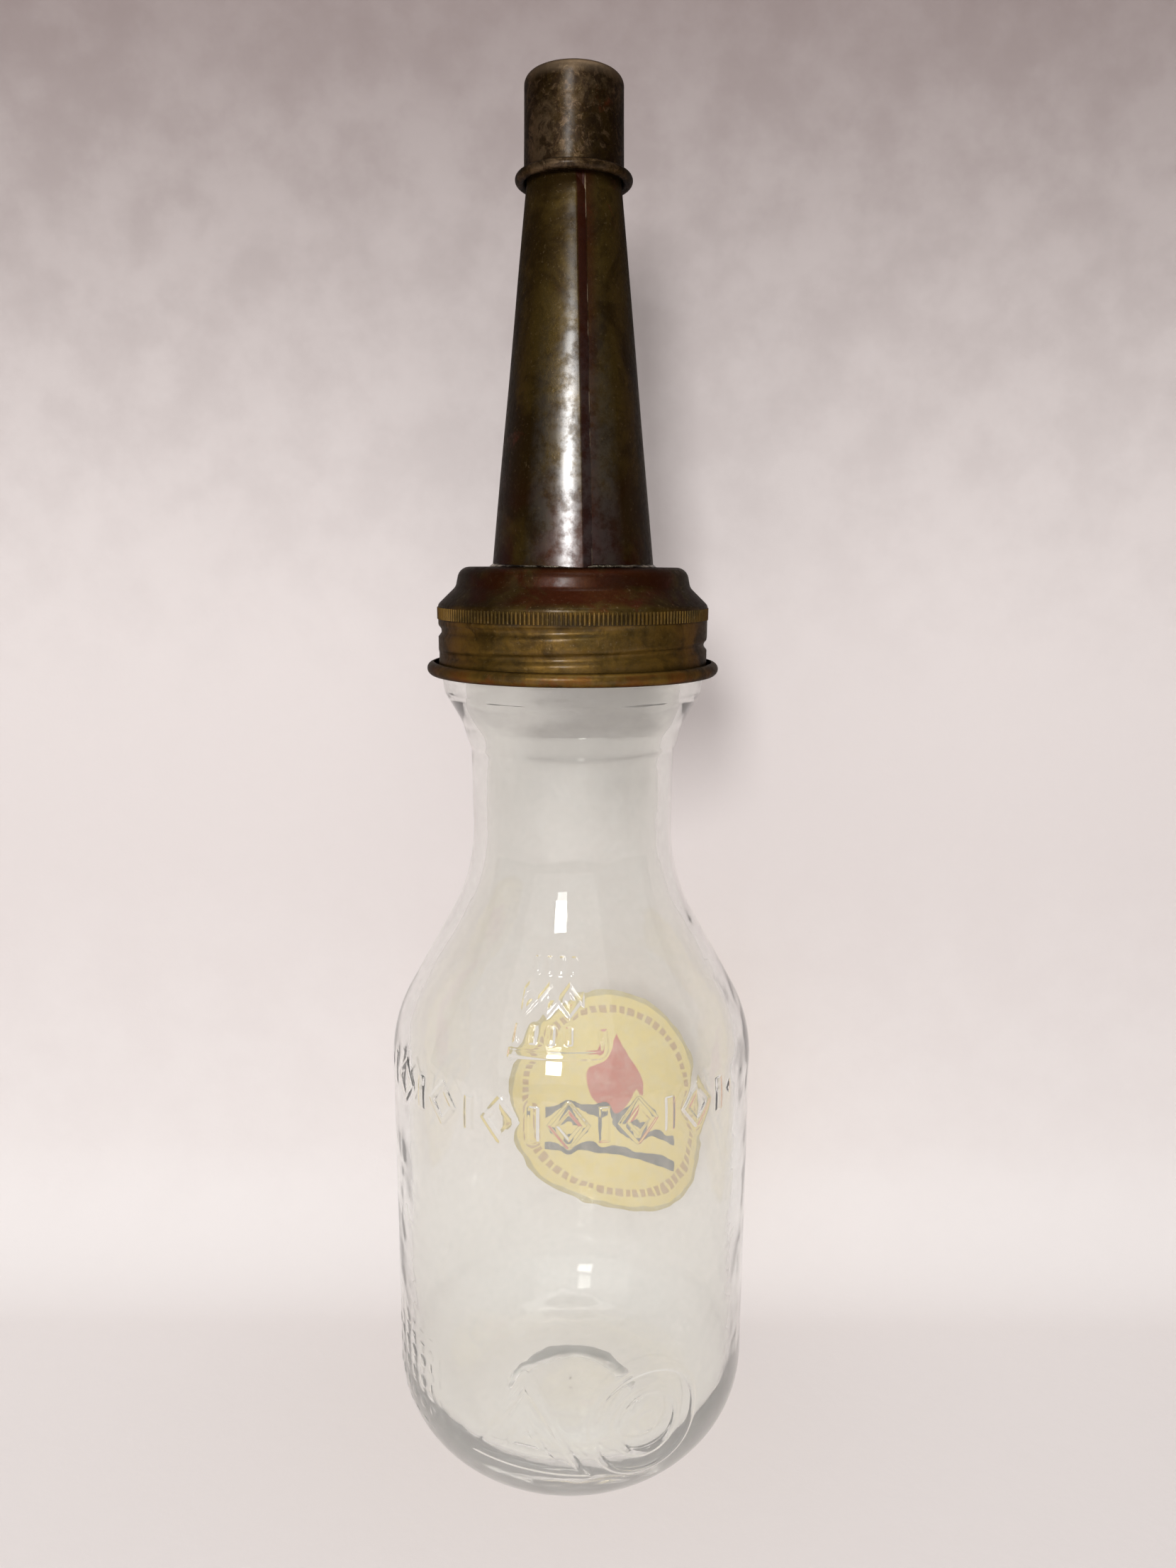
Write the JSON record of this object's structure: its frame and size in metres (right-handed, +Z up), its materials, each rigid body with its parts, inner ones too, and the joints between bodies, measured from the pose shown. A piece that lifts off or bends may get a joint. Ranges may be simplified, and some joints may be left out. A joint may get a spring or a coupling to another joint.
{
  "type": "oil bottle",
  "caption": "Clear glass oil bottle with a long shoulder and flared neck, a screw-on tin lid that carries a tall seamed pouring cone, and a slip-on cap on its tip.",
  "frame": {"origin": "centre of the ring that the bottle stands on, at the level it stands on", "axes": "+Z up along the bottle's axis, -Y the front that the picture shows, +X to its right"},
  "size_m": [0.101, 0.1011, 0.3699],
  "materials": {
    "clear_glass": "clear, faintly rippled",
    "label_print": "faded printed label",
    "seal_rubber": "matt",
    "aged_tin": "tarnished tinplate with rust",
    "aged_tin_cone": "tarnished tinplate with rust at the seam and foot",
    "aged_tin_cap": "tarnished tinplate, mottled"
  },
  "bodies": {
    "bottle": {"glass_bottle": "clear_glass", "label": "label_print"},
    "seal": {"seal_ring": "seal_rubber"},
    "spout": {"screw_lid": "aged_tin", "spout_cone": "aged_tin_cone"},
    "cap": {"tip_cap": "aged_tin_cap"}
  },
  "joints": [
    {"name": "lid_rise", "type": "slide", "parent": "bottle", "child": "seal", "axis": [0, 0, 1], "range_m": [0, 0.0191]},
    {"name": "lid_turn", "type": "hinge", "parent": "seal", "child": "spout", "pos_m": [0, 0, 0.24], "axis": [0, 0, 1], "range_deg": [0, 1080]},
    {"name": "cap_pull", "type": "slide", "parent": "spout", "child": "cap", "axis": [0, 0, 1], "range_m": [0, 0.04]}
  ],
  "couplings": [
    {"joint": "lid_rise", "follows": "lid_turn", "m_per_rad": 0.0010106}
  ]
}
